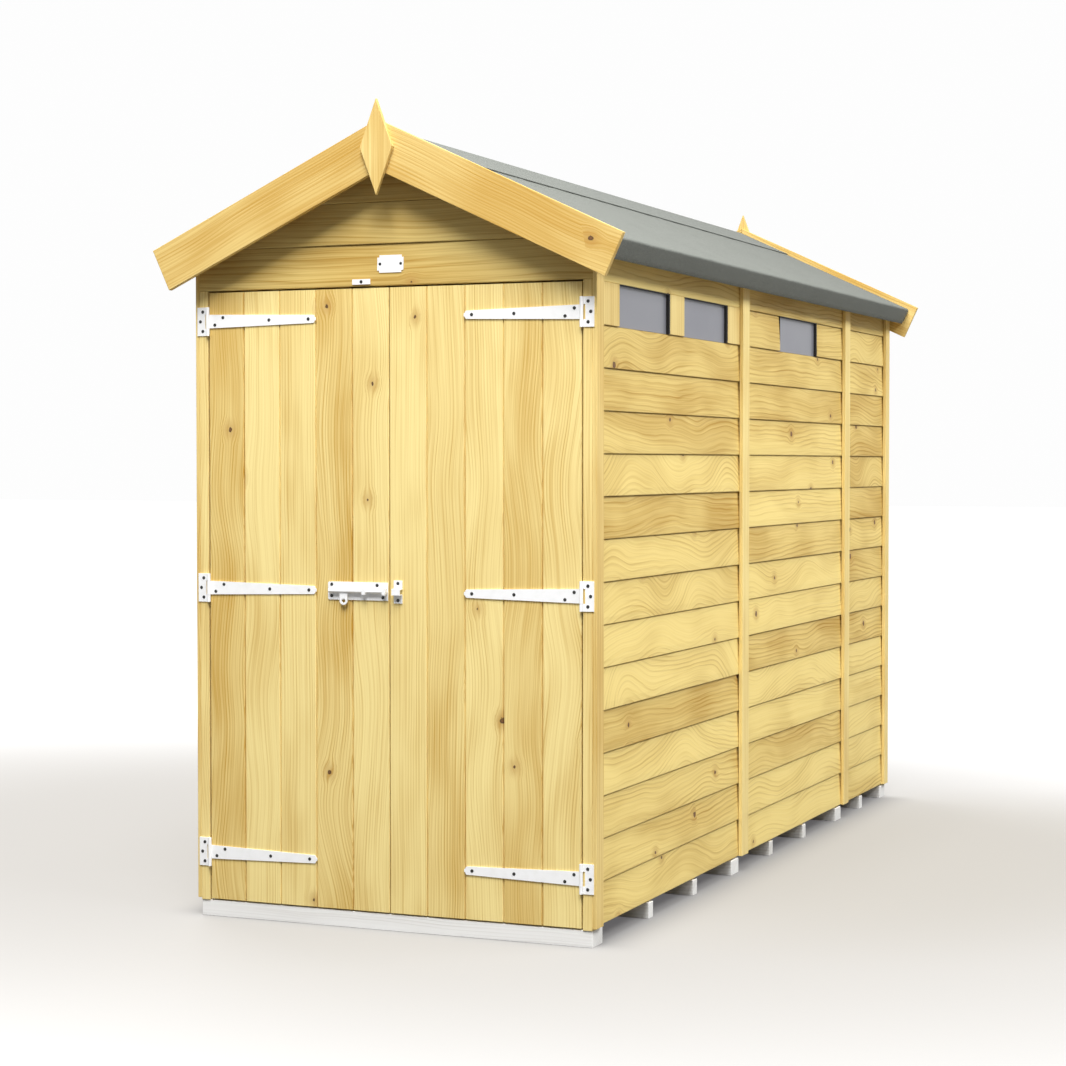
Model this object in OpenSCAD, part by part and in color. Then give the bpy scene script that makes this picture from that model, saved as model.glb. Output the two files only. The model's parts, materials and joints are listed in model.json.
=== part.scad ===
// Apex garden shed with double doors, lapped boards, three high windows and a felted roof.
// Millimetres. The front faces -Y, +X is to the right seen from the front, and +Z is up.
// The origin is on the ground, in the middle of the outline.

/* [Overall] */
// Width over the corner strips
shed_width = 1200; // [1000:10:1600]
// Length from the front of the door posts to the back boards
shed_length = 3060; // [2700:10:3900]
// Rise from the door head to the roof boards' underside at the side boards
wall_rise = 125; // [120:1:200]

/* [Floor] */
// Height of the bearers on the ground
bearer_h = 45; // [35:1:75]
// Width of a bearer
bearer_w = 36; // [28:1:50]
// Front to back size of the wide bearer under the doors
front_bearer_w = 72; // [50:1:100]
// Thickness of the floor boards
deck_t = 12; // [10:1:20]
// Spacing of the bearers within a floor section
bearer_pitch = 380; // [340:5:420]
// How far the floor's joints lie in front of the wall's joints
floor_shift = 66; // [40:1:80]
// How far the end bearers lie behind the wall faces
bearer_inset = 3; // [0:1:10]

/* [Walls] */
// Height of one board course
board_pitch = 113; // [100:1:125]
// Thickness of the boards at the lower edge
board_t = 14; // [12:1:18]
// How far the upper edge of a board lies behind the lower edge
board_lap = 7; // [4:1:9]
// Flat height at the lower edge of each board
board_land = 20; // [12:1:30]
// Boards below the window sill
sill_courses = 14; // [13:1:14]
// Section of the frame timbers
frame_t = 28; // [24:1:34]
// Height of the bottom rails
bottom_rail_h = 40; // [34:1:60]
// Depth of the top rails below the roof
top_rail_h = 50; // [40:1:60]
// Thickness of the strips that cover the corners and joints
strip_t = 12; // [8:1:16]
// Width of a corner strip
corner_strip_w = 52; // [40:1:60]
// Width of a joint strip
joint_strip_w = 66; // [50:1:80]
// Distance from the front to the first joint of the side wall
first_joint = 1275; // [1260:1:1300]
// Length of the middle section of the side wall
section_l = 1187; // [1170:1:1220]

/* [Windows] */
// Front edge of each window from the front of the shed
window_from = [198, 725, 1673];
// Length of each window
window_l = [406, 403, 433];
// Thickness of a pane
pane_t = 4; // [3:1:6]

/* [Doors] */
// Thickness of the door boards
door_t = 14; // [12:1:18]
// Gap between a moving door and what is beside it
door_gap = 5; // [5:0.5:6]
// Width of the front face of a door post
post_w = 27; // [22:1:34]
// Height of a door ledge
ledge_h = 95; // [70:1:110]
// Width of a brace along the ledge
brace_w = 100; // [70:1:120]
// Distance of the ledges from the edges of the door
ledge_inset = 24; // [20:1:40]
// Distance of the braces from the ends of the ledges
brace_inset = 20; // [10:1:40]
// Height of the lowest hinge above the foot of the door
hinge_foot = 131; // [100:1:180]
// Depth of the highest hinge below the top of the door
hinge_head = 79; // [70:1:150]

/* [Hinges] */
// Height of the fixed plate
plate_h = 79; // [70:1:90]
// Reach of the fixed plate from the pin
plate_reach = 34.5; // [30:0.5:38]
// Reach of the long strap from the pin
strap_reach = 337; // [280:1:380]
// Height of the strap at the knuckle
strap_h = 38; // [34:1:42]
// Height of the strap at its tip
strap_tip_h = 22; // [18:1:26]
// Length of the small nub on the tip
strap_nub = 4; // [2:0.5:6]
// Corner cut at the tip
strap_ease = 3; // [1:0.5:5]
// Width of the slot beside the middle knuckle
slot_w = 5; // [3:0.5:8]
// Thickness of the hinge metal
metal_t = 2.5; // [2:0.1:3]
// Radius of the knuckle
knuckle_r = 5; // [4.5:0.1:5.5]
// Radius of the pin
pin_r = 2.5; // [2:0.1:3]
// Room around the pin
pin_clear = 0.08; // [0.05:0.01:0.1]
// Room between the knuckles along the pin
knuckle_gap = 0.5; // [0.3:0.1:1]

/* [Bolt] */
// Length of the bolt's backplate
bolt_plate_l = 182; // [160:1:200]
// Height of the bolt's backplate
bolt_plate_h = 49; // [42:1:56]
// Corner cut of the backplate
bolt_ease = 3; // [1:0.5:6]
// Distance of the backplate from the meeting edge of the door
bolt_inset = 1; // [1:0.5:4]
// Width of a guide
guide_w = 10; // [8:1:14]
// Wall of a guide around the rod
guide_wall = 3; // [2:0.1:4]
// Place of the first guide as a part of the backplate's length
guide_at = 0.6; // [0.6:0.01:0.7]
// Distance of the second guide from the end of the backplate
guide_inset = 2; // [1:0.5:6]
// Radius of the sliding rod
rod_r = 5.5; // [5:0.1:6]
// Room around the rod
rod_clear = 0.4; // [0.3:0.1:0.6]
// Distance of the drawn rod from the outer end of the backplate
rod_inset = 6; // [3:1:10]
// Distance from the meeting edge of the door to the middle of the lug
lug_from = 132; // [128:1:136]
// Width of the lug
lug_w = 23; // [20:1:24]
// Drop of the lug below the rod
lug_drop = 38; // [36:1:42]
// Thickness of the lug
lug_t = 4; // [3:0.5:5]

/* [Keeper and button] */
// Width of the keeper along the rod
keeper_w = 25; // [20:1:30]
// Height of the keeper with its feet
keeper_h = 62; // [54:1:70]
// Distance from the middle of the shed to the keeper
keeper_from = 14; // [12:1:18]
// Wall of the keeper over the rod
keeper_wall = 2.4; // [2:0.1:3]
// Length of the turn button
button_l = 54; // [50:1:58]
// Width of the turn button
button_w = 14; // [12:1:16]
// Distance of the turn button's pivot to the left of the middle
button_from = 81; // [70:1:120]
// Height of the pivot above the underside of the gable
button_rise = 12; // [12:0.5:14]
// Thickness of the turn button
button_t = 2.5; // [2:0.1:3]
// Room behind the turn button
button_gap = 3; // [2.6:0.1:4]

/* [Roof] */
// Slope of the roof in degrees
roof_pitch = 25; // [22:1:27]
// Thickness of the roof boards
roof_t = 12; // [9:1:16]
// Thickness of the felt
felt_t = 3; // [2:0.5:4]
// Reach of the roof beyond the corner strips, measured level
eave_reach = 66; // [60:1:80]
// Height of the eave face, square to the slope
eave_h = 60; // [50:1:66]
// Thickness of the batten inside the eave
eave_batten_t = 26; // [20:1:28]
// Reach of the ridge felt down each slope
ridge_felt_w = 205; // [150:5:250]
// Section of the purlins
purlin_w = 34; // [28:1:44]
// Depth of the purlins
purlin_h = 62; // [50:1:80]
// Room between sloping layers that lie on each other
seat = 0.05; // [0.02:0.01:0.1]

/* [Gable trim] */
// Width of the bargeboards
barge_w = 122; // [100:1:124]
// Thickness of the bargeboards
barge_t = 16; // [12:1:20]
// Height of the bargeboards above the felt, square to the slope
barge_rise = 19; // [10:1:24]
// Reach of the bargeboards beyond the eave, along the slope
barge_past = 26; // [15:1:30]
// Gap between the two bargeboards at the apex
mitre_gap = 1; // [0.5:0.5:2]
// Distance from the front wall to the face of the front bargeboards
front_over = 66; // [50:1:100]
// Distance from the back wall to the face of the back bargeboards
back_over = 50; // [40:1:100]
// Height of the finial
finial_h = 257; // [220:1:280]
// Width of the finial
finial_w = 96; // [80:1:110]
// Thickness of the finial
finial_t = 12; // [9:1:16]
// Part of the finial that stands above the bargeboards
finial_above = 0.21; // [0.1:0.01:0.3]

/* [Hidden] */
$fn = 48;

// Face of the strips, face of the boards, inside of the boards and inside of the frame
strip_x = shed_width / 2;
face_x = strip_x - strip_t;
board_x = face_x - board_t;
frame_x = board_x - frame_t;
// Front and back faces of the walls
outline_l = shed_length + front_over + back_over + 2 * finial_t;
front_y = front_over + finial_t - outline_l / 2;
back_y = front_y + shed_length;
// Lower edge of the boards, the sill, and the head of doors and windows
wall_z = bearer_h + door_gap;
sill_z = wall_z + sill_courses * board_pitch;
head_z = sill_z + board_pitch;
wall_top = head_z + wall_rise;
strip_top = wall_top - strip_t;
// Inside faces behind the boards and behind the frame at each end
front_board_y = front_y + board_t;
front_frame_y = front_board_y + frame_t;
back_board_y = back_y - board_t;
back_frame_y = back_board_y - frame_t;
// Joints of the side wall
joint_1 = front_y + first_joint;
joint_2 = joint_1 + section_l;
// Roof planes: level run to the eave and the height of each plane over the ridge line
slope = tan(roof_pitch);
under_z = wall_top + face_x * slope;
boards_z = under_z + roof_t / cos(roof_pitch);
felt_z = boards_z + felt_t / cos(roof_pitch);
eave_u = (strip_x + eave_reach) / cos(roof_pitch);
// Roof ends behind the bargeboards
roof_front_y = front_y - front_over + barge_t;
roof_back_y = back_y + back_over - barge_t;
// Doors
post_x = face_x - post_w;
door_x = post_x - door_gap;
door_in = door_gap / 2;
door_z = wall_z;
door_top = head_z - door_gap;
door_back = front_y + door_t;
ledge_back = door_back + frame_t;
pin_x = (post_x + door_x) / 2;
pin_y = front_y - knuckle_r - knuckle_gap / 2;
hinge_z = [door_z + hinge_foot, (door_z + hinge_foot + door_top - hinge_head) / 2, door_top - hinge_head];
// Bolt
bolt_z = hinge_z[1];
rod_y = front_y - metal_t - rod_r - rod_clear;
bolt_end = -door_in - bolt_inset;
bolt_start = bolt_end - bolt_plate_l;
// Turn button
button_z = head_z + button_rise;
// Room behind the pivot of the turn button
pivot_gap = 0.3;
// How far a cut runs past the solid that it cuts
cut = 1;

// Colours of the solids
wood_tone = [0.88, 0.76, 0.48];
frame_tone = [0.82, 0.70, 0.45];
bearer_tone = [0.83, 0.81, 0.77];
felt_tone = [0.55, 0.56, 0.53];
metal_tone = [0.94, 0.94, 0.94];
pane_tone = [0.60, 0.60, 0.66];

// A bar between two corners
module bar(from, to) {
  translate(from) cube(to - from);
}

// A profile in x and z, run along y
module along_y(from, to) {
  translate([0, to, 0]) rotate([90, 0, 0]) linear_extrude(height = to - from) children();
}

// A profile in y and z, run along x
module along_x(from, to) {
  translate([from, 0, 0]) rotate([90, 0, 90]) linear_extrude(height = to - from) children();
}

// Children and their mirror image
module mirrored() {
  children();
  mirror([1, 0, 0]) children();
}

// Outline of lapped boards: distance outwards over height, from one height to another
function lap_out(z) =
  let (over = (z - wall_z) - board_pitch * floor((z - wall_z) / board_pitch + 0.0001))
  over <= board_land ? 0 : -board_lap * (over - board_land) / (board_pitch - board_land);

function lap_points(from, to) = [
  for (k = [0 : ceil((to - wall_z) / board_pitch)])
    let (base = wall_z + k * board_pitch)
    for (p = [[base, 0], [base + board_land, 0], [base + board_pitch, -board_lap]])
      if (p[0] >= from && p[0] <= to && !(p[0] == from && p[1] < 0) && !(p[0] == to && p[1] == 0))
        [p[1], p[0]]
];

// Flat back, lapped front; the front points along +x of the profile
module lap_profile(from, to) {
  polygon(concat(
    [[-board_t, to], [-board_t, from]],
    lap_out(from) < 0 ? [[lap_out(from), from]] : [],
    lap_points(from, to),
    (to - wall_z) % board_pitch == 0 ? [] : [[lap_out(to), to]]
  ));
}

// Lapped boards of a right-hand side wall
module side_boards(from_y, to_y, from_z, to_z) {
  along_y(from_y, to_y) translate([face_x, 0]) lap_profile(from_z, to_z);
}

// All the space under the roof boards
module under_roof() {
  half = strip_x + eave_reach;
  top_z = under_z - seat / cos(roof_pitch);
  along_y(front_y - front_over, back_y + back_over)
    polygon([[-half, 0], [half, 0], [half, top_z - half * slope], [0, top_z], [-half, top_z - half * slope]]);
}

// A point on the right-hand slope: distance down the slope and distance below the felt
function on_slope(u, n) = [
  u * cos(roof_pitch) - n * sin(roof_pitch),
  felt_z - u * sin(roof_pitch) - n * cos(roof_pitch)
];

// Where a layer at depth n below the felt meets the middle
function at_ridge(n) = [0, felt_z - n / cos(roof_pitch)];

// One bearer across the shed
module bearer(from, width) {
  bar([-face_x, from, 0], [face_x, from + width, bearer_h]);
}

module floor_bearers() {
  floor_joints = [joint_1 - floor_shift, joint_2 - floor_shift];
  back_bearer = back_y - bearer_inset - 2 * bearer_w;
  color(bearer_tone) {
    bearer(front_y + bearer_inset, front_bearer_w);
    for (k = [1 : 2])
      bearer(floor_joints[0] - k * bearer_pitch - bearer_w / 2, bearer_w);
    for (j = floor_joints)
      bearer(j - bearer_w, 2 * bearer_w);
    for (k = [1 : 2])
      bearer(floor_joints[0] + k * bearer_pitch - bearer_w / 2, bearer_w);
    bearer((floor_joints[1] + back_bearer) / 2, bearer_w);
    bearer(back_bearer, 2 * bearer_w);
  }
}

module floor_deck() {
  color(frame_tone) bar([-frame_x, door_back + door_gap, bearer_h], [frame_x, back_frame_y, bearer_h + deck_t]);
}

module right_boards_front() {
  color(wood_tone) {
    side_boards(front_frame_y, joint_1, wall_z, sill_z);
    side_boards(front_frame_y, joint_1, head_z, strip_top);
  }
}

module right_boards_middle() {
  color(wood_tone) difference() {
    side_boards(joint_1, joint_2, wall_z, strip_top);
    bar([board_x - cut, front_y + window_from[2], sill_z],
        [face_x + cut, front_y + window_from[2] + window_l[2], head_z]);
  }
}

module right_boards_back() {
  color(wood_tone) side_boards(joint_2, back_board_y, wall_z, strip_top);
}

module left_boards_front() {
  color(wood_tone) mirror([1, 0, 0]) side_boards(front_frame_y, joint_1, wall_z, strip_top);
}

module left_boards_middle() {
  color(wood_tone) mirror([1, 0, 0]) side_boards(joint_1, joint_2, wall_z, strip_top);
}

module left_boards_back() {
  color(wood_tone) mirror([1, 0, 0]) side_boards(joint_2, back_board_y, wall_z, strip_top);
}

// Front edges and widths of the studs, measured from the front
window_post_mid = (window_from[0] + window_l[0] + window_from[1]) / 2 - frame_t / 2;
right_stud_at = [
  [board_t + frame_t, frame_t],
  [window_post_mid, frame_t],
  [first_joint - frame_t, 2 * frame_t],
  [window_from[2] - frame_t, frame_t],
  [window_from[2] + window_l[2], frame_t],
  [first_joint + section_l - frame_t, 2 * frame_t],
  [shed_length - board_t - 2 * frame_t, frame_t]
];
left_stud_at = [
  [board_t + frame_t, frame_t],
  [window_post_mid, frame_t],
  [first_joint - frame_t, 2 * frame_t],
  [first_joint + section_l / 2 - frame_t / 2, frame_t],
  [first_joint + section_l - frame_t, 2 * frame_t],
  [shed_length - board_t - 2 * frame_t, frame_t]
];
rail_top_z = wall_top - top_rail_h;
rail_low_z = bearer_h + bottom_rail_h;

module stud_row(at) {
  for (s = at)
    bar([frame_x, front_y + s[0], rail_low_z], [board_x, front_y + s[0] + s[1], rail_top_z]);
}

module long_rails() {
  bar([frame_x, front_frame_y, bearer_h], [board_x, back_frame_y, rail_low_z]);
  intersection() {
    bar([frame_x, front_frame_y, rail_top_z], [board_x, back_frame_y, under_z]);
    under_roof();
  }
}

// Short rails under and over a window
module window_rails(from, to) {
  bar([frame_x, front_y + from, sill_z - frame_t], [board_x, front_y + to, sill_z]);
  bar([frame_x, front_y + from, head_z], [board_x, front_y + to, head_z + frame_t]);
}

module right_studs() {
  color(frame_tone) stud_row(right_stud_at);
}

module left_studs() {
  color(frame_tone) mirror([1, 0, 0]) stud_row(left_stud_at);
}

module right_rails() {
  color(frame_tone) {
    long_rails();
    window_rails(right_stud_at[0][0] + frame_t, right_stud_at[1][0]);
    window_rails(right_stud_at[1][0] + frame_t, right_stud_at[2][0]);
    window_rails(right_stud_at[3][0] + frame_t, right_stud_at[4][0]);
  }
}

module left_rails() {
  color(frame_tone) mirror([1, 0, 0]) long_rails();
}

// The strips of a right-hand side wall
module strip_row() {
  bar([face_x, front_y, wall_z], [strip_x, front_y + corner_strip_w, strip_top]);
  for (j = [joint_1, joint_2])
    bar([face_x, j - joint_strip_w / 2, wall_z], [strip_x, j + joint_strip_w / 2, strip_top]);
  bar([face_x, back_y - corner_strip_w, wall_z], [strip_x, back_y, strip_top]);
}

module right_strips() {
  color(wood_tone) strip_row();
}

module left_strips() {
  color(wood_tone) mirror([1, 0, 0]) strip_row();
}

// Upright boards beside the two front windows
module window_posts() {
  edges = [
    [front_frame_y, front_y + window_from[0]],
    [front_y + window_from[0] + window_l[0], front_y + window_from[1]],
    [front_y + window_from[1] + window_l[1], joint_1]
  ];
  color(wood_tone) for (e = edges)
    bar([board_x, e[0], sill_z], [face_x, e[1], head_z]);
}

module window_panes() {
  color(pane_tone) for (k = [0 : 2])
    bar([board_x, front_y + window_from[k], sill_z],
        [board_x + pane_t, front_y + window_from[k] + window_l[k], head_z]);
}

module back_boards() {
  color(wood_tone) intersection() {
    along_x(-face_x, face_x) translate([back_y, 0]) lap_profile(wall_z, under_z + cut);
    under_roof();
  }
}

module back_studs() {
  color(frame_tone) {
    mirrored() bar([board_x - frame_t, back_frame_y, rail_low_z], [board_x, back_board_y, head_z]);
    bar([-frame_t / 2, back_frame_y, rail_low_z], [frame_t / 2, back_board_y, head_z]);
  }
}

module back_rails() {
  color(frame_tone) {
    bar([-board_x, back_frame_y, bearer_h], [board_x, back_board_y, rail_low_z]);
    bar([-board_x, back_frame_y, head_z], [board_x, back_board_y, head_z + frame_t]);
  }
}

module door_posts() {
  color(wood_tone) mirrored() bar([post_x, front_y, bearer_h], [face_x, front_frame_y, head_z]);
}

module front_gable() {
  color(wood_tone) intersection() {
    mirror([0, 1, 0]) along_x(-face_x, face_x) translate([-front_y, 0]) lap_profile(head_z, under_z + cut);
    under_roof();
  }
}

module door_header() {
  color(frame_tone) bar([-board_x, front_board_y, head_z], [board_x, front_frame_y, head_z + frame_t]);
}

// A sloping layer of the right-hand roof between two depths below the felt
module roof_layer(top, bottom, reach) {
  along_y(roof_front_y, roof_back_y)
    polygon([at_ridge(top), at_ridge(bottom), on_slope(reach, bottom), on_slope(reach, top)]);
}

module right_roof_boards() {
  color(frame_tone) roof_layer(felt_t + seat, felt_t + roof_t, eave_u - felt_t - seat);
}

module left_roof_boards() {
  color(frame_tone) mirror([1, 0, 0]) right_roof_boards();
}

// Felt over the boards and folded down the eave
module right_felt() {
  color(felt_tone) along_y(roof_front_y, roof_back_y) polygon([
    at_ridge(0), at_ridge(felt_t), on_slope(eave_u - felt_t, felt_t),
    on_slope(eave_u - felt_t, eave_h), on_slope(eave_u, eave_h), on_slope(eave_u, 0)
  ]);
}

module left_felt() {
  color(felt_tone) mirror([1, 0, 0]) right_felt();
}

// A strip of felt over the ridge
module ridge_felt() {
  low = on_slope(ridge_felt_w, -seat);
  high = on_slope(ridge_felt_w, -seat - felt_t);
  color(felt_tone) along_y(roof_front_y, roof_back_y) polygon([
    at_ridge(-seat), low, high, at_ridge(-seat - felt_t), [-high[0], high[1]], [-low[0], low[1]]
  ]);
}

module eave_battens() {
  outer = eave_u - felt_t - seat;
  inner = outer - eave_batten_t;
  top = felt_t + roof_t + seat;
  color(frame_tone) mirrored() along_y(roof_front_y, roof_back_y)
    polygon([on_slope(inner, top), on_slope(inner, eave_h), on_slope(outer, eave_h), on_slope(outer, top)]);
}

// A ridge timber and one purlin in the middle of each slope
module purlins() {
  color(frame_tone) intersection() {
    union() {
      bar([-purlin_w / 2, front_board_y, under_z - purlin_h], [purlin_w / 2, back_board_y, under_z]);
      mirrored() bar([face_x / 2 - purlin_w / 2, front_board_y, under_z - face_x / 2 * slope - purlin_h],
                     [face_x / 2 + purlin_w / 2, back_board_y, under_z]);
    }
    under_roof();
  }
}

// The right-hand bargeboard, with its ends cut square and its apex cut upright
module bargeboard() {
  top = -barge_rise;
  low = barge_w - barge_rise;
  half_gap = mitre_gap / 2;
  polygon([
    [half_gap, at_ridge(top)[1] - half_gap * slope], [half_gap, at_ridge(low)[1] - half_gap * slope],
    on_slope(eave_u + barge_past, low), on_slope(eave_u + barge_past, top)
  ]);
}

module front_bargeboards() {
  color(wood_tone) mirrored() along_y(front_y - front_over, roof_front_y) bargeboard();
}

module back_bargeboards() {
  color(wood_tone) mirrored() along_y(roof_back_y, back_y + back_over) bargeboard();
}

// An upright diamond, standing on the apex of the bargeboards
module finial(face_y, depth) {
  mid_z = at_ridge(-barge_rise)[1] + finial_h * finial_above - finial_h / 2;
  along_y(face_y, face_y + depth)
    polygon([
      [0, mid_z - finial_h / 2], [finial_w / 2, mid_z],
      [0, mid_z + finial_h / 2], [-finial_w / 2, mid_z]
    ]);
}

module front_finial() {
  color(wood_tone) finial(front_y - front_over - finial_t, finial_t);
}

module back_finial() {
  color(wood_tone) finial(back_y + back_over, finial_t);
}

module door_boards() {
  bar([door_in, front_y, door_z], [door_x, door_back, door_top]);
}

module door_ledges() {
  for (z = hinge_z)
    bar([door_in + ledge_inset, door_back, z - ledge_h / 2],
        [door_x - ledge_inset, ledge_back, z + ledge_h / 2]);
}

// Braces rise from the hinge side to the meeting side
module door_braces() {
  low_x = door_x - ledge_inset - brace_inset;
  high_x = door_in + ledge_inset + brace_inset;
  for (k = [0 : 1])
    along_y(door_back, ledge_back) polygon([
      [low_x, hinge_z[k] + ledge_h / 2], [high_x + brace_w, hinge_z[k + 1] - ledge_h / 2],
      [high_x, hinge_z[k + 1] - ledge_h / 2], [low_x - brace_w, hinge_z[k] + ledge_h / 2]
    ]);
}

module right_door_boards() {
  color(wood_tone) door_boards();
}

module left_door_boards() {
  color(wood_tone) mirror([1, 0, 0]) door_boards();
}

module right_door_ledges() {
  color(frame_tone) door_ledges();
}

module left_door_ledges() {
  color(frame_tone) mirror([1, 0, 0]) door_ledges();
}

module right_door_braces() {
  color(frame_tone) door_braces();
}

module left_door_braces() {
  color(frame_tone) mirror([1, 0, 0]) door_braces();
}

// The fixed half of a hinge: plate, two knuckles and the pin
module hinge_plate(z) {
  notch_h = strap_h + 2 * knuckle_gap;
  difference() {
    union() {
      bar([pin_x, front_y - metal_t, z - plate_h / 2], [pin_x + plate_reach, front_y, z + plate_h / 2]);
      translate([pin_x, pin_y, z - plate_h / 2]) cylinder(r = knuckle_r, h = plate_h);
    }
    bar([pin_x - knuckle_r - cut, pin_y - knuckle_r - cut, z - notch_h / 2],
        [pin_x + knuckle_r + slot_w, front_y + cut, z + notch_h / 2]);
  }
  translate([pin_x, pin_y, z - notch_h / 2]) cylinder(r = pin_r, h = notch_h);
}

// The moving half: a tapered strap with a small nub, and the middle knuckle; side is 1 or -1
module hinge_strap(z, side) {
  end = strap_reach - strap_nub;
  half = [
    [0, strap_h / 2], [end - strap_ease, strap_tip_h / 2], [end, strap_tip_h / 2 - strap_ease],
    [end, strap_tip_h / 4], [strap_reach, strap_tip_h / 6]
  ];
  difference() {
    union() {
      along_y(front_y - metal_t, front_y) polygon(concat(
        [for (p = half) [side * (pin_x - p[0]), z + p[1]]],
        [for (k = [len(half) - 1 : -1 : 0]) [side * (pin_x - half[k][0]), z - half[k][1]]]
      ));
      translate([side * pin_x, pin_y, z - strap_h / 2]) cylinder(r = knuckle_r, h = strap_h);
    }
    translate([side * pin_x, pin_y, z - strap_h / 2 - cut])
      cylinder(r = pin_r + pin_clear, h = strap_h + 2 * cut);
  }
}

module right_hinge_plates() {
  color(metal_tone) for (z = hinge_z) hinge_plate(z);
}

module left_hinge_plates() {
  color(metal_tone) mirror([1, 0, 0]) for (z = hinge_z) hinge_plate(z);
}

module right_hinge_straps() {
  color(metal_tone) for (z = hinge_z) hinge_strap(z, 1);
}

module left_hinge_straps() {
  color(metal_tone) for (z = hinge_z) hinge_strap(z, -1);
}

// Backplate with two guides that the rod slides through
module bolt_plate() {
  bore_r = rod_r + rod_clear;
  guide_h = 2 * (bore_r + guide_wall);
  low = bolt_z - bolt_plate_h / 2;
  high = bolt_z + bolt_plate_h / 2;
  color(metal_tone) difference() {
    union() {
      along_y(front_y - metal_t, front_y) polygon([
        [bolt_start + bolt_ease, low], [bolt_start, low + bolt_ease],
        [bolt_start, high - bolt_ease], [bolt_start + bolt_ease, high], [bolt_end, high], [bolt_end, low]
      ]);
      for (x = [bolt_start + guide_at * bolt_plate_l, bolt_end - guide_w - guide_inset])
        bar([x, rod_y - bore_r - guide_wall, bolt_z - guide_h / 2],
            [x + guide_w, front_y - metal_t, bolt_z + guide_h / 2]);
    }
    translate([bolt_start - cut, rod_y, bolt_z]) rotate([0, 90, 0])
      cylinder(r = bore_r, h = bolt_plate_l + 2 * cut);
  }
}

// The sliding rod with its ring
module bolt_rod() {
  lug_x = -lug_from - door_in;
  ring_z = bolt_z - lug_drop + lug_w / 2;
  color(metal_tone) {
    translate([bolt_start + rod_inset, rod_y, bolt_z]) rotate([0, 90, 0])
      cylinder(r = rod_r, h = bolt_plate_l - rod_inset - bolt_inset);
    difference() {
      union() {
        bar([lug_x - lug_w / 2, rod_y - lug_t / 2, ring_z], [lug_x + lug_w / 2, rod_y + lug_t / 2, bolt_z]);
        translate([lug_x, rod_y + lug_t / 2, ring_z]) rotate([90, 0, 0]) cylinder(r = lug_w / 2, h = lug_t);
      }
      translate([lug_x, rod_y + lug_t / 2 + cut, ring_z]) rotate([90, 0, 0])
        cylinder(r = lug_w / 4, h = lug_t + 2 * cut);
    }
  }
}

// A strap with two feet, raised in the middle over the rod
module bolt_keeper() {
  room = rod_r + 2 * rod_clear;
  arch_h = 2 * (room + keeper_wall);
  color(metal_tone) difference() {
    union() {
      bar([keeper_from, front_y - metal_t, bolt_z - keeper_h / 2],
          [keeper_from + keeper_w, front_y, bolt_z + keeper_h / 2]);
      bar([keeper_from, rod_y - room - keeper_wall, bolt_z - arch_h / 2],
          [keeper_from + keeper_w, front_y, bolt_z + arch_h / 2]);
    }
    bar([keeper_from - cut, rod_y - room, bolt_z - room],
        [keeper_from + keeper_w + cut, front_y + cut, bolt_z + room]);
  }
}

// Turned aside to free the door; it turns upright to hold it
module turn_button() {
  color(metal_tone) translate([-button_from, 0, button_z]) {
    bar([-button_l / 2, front_y - button_gap - button_t, -button_w / 2],
        [button_l / 2, front_y - button_gap, button_w / 2]);
    translate([0, front_y - pivot_gap, 0]) rotate([90, 0, 0])
      cylinder(r = button_w / 4, h = button_gap - pivot_gap);
  }
}

floor_bearers();
floor_deck();
right_boards_front();
right_boards_middle();
right_boards_back();
left_boards_front();
left_boards_middle();
left_boards_back();
right_studs();
right_rails();
left_studs();
left_rails();
right_strips();
left_strips();
window_posts();
window_panes();
back_boards();
back_studs();
back_rails();
door_posts();
front_gable();
door_header();
right_roof_boards();
left_roof_boards();
right_felt();
left_felt();
ridge_felt();
eave_battens();
purlins();
front_bargeboards();
back_bargeboards();
front_finial();
back_finial();
right_door_boards();
right_door_ledges();
right_door_braces();
left_door_boards();
left_door_ledges();
left_door_braces();
right_hinge_plates();
left_hinge_plates();
right_hinge_straps();
left_hinge_straps();
bolt_plate();
bolt_rod();
bolt_keeper();
turn_button();
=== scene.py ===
# %% [markdown]
# # Wooden garden shed
# This lesson dresses the CAD model of an apex shed. The CAD solids give the frame: where each piece
# is and what it moves with. Here the walls become single lapped boards, the doors become tongued
# boards, every timber gets its own grain, and the roof gets mineral felt. One could also texture
# the plain solids, but a shed is mostly edges and shadow lines, and those come from real boards.
# Units are metres. The front of the shed faces -Y, and Z is up.

import json
import math
import random

import bmesh
import bpy
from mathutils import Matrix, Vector


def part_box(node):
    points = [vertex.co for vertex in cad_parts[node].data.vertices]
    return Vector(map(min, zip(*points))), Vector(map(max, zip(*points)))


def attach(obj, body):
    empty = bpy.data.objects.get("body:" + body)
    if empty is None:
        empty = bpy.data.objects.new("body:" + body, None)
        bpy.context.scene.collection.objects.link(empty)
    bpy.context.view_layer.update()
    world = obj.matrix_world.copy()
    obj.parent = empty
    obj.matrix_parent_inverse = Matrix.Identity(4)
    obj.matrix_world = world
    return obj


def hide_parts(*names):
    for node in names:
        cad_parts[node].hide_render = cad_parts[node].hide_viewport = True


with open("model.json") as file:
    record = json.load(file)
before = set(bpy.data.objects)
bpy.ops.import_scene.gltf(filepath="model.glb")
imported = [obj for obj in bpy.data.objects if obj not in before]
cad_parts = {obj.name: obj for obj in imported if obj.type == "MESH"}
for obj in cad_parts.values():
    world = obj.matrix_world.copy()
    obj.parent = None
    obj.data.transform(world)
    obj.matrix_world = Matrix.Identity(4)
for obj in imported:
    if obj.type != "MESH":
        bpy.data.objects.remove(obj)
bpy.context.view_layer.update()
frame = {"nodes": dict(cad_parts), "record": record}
rng = random.Random(11)
body_of_node = {n: b for b, nodes in frame["record"]["behaviour"]["bodies"].items() for n in nodes}

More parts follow.
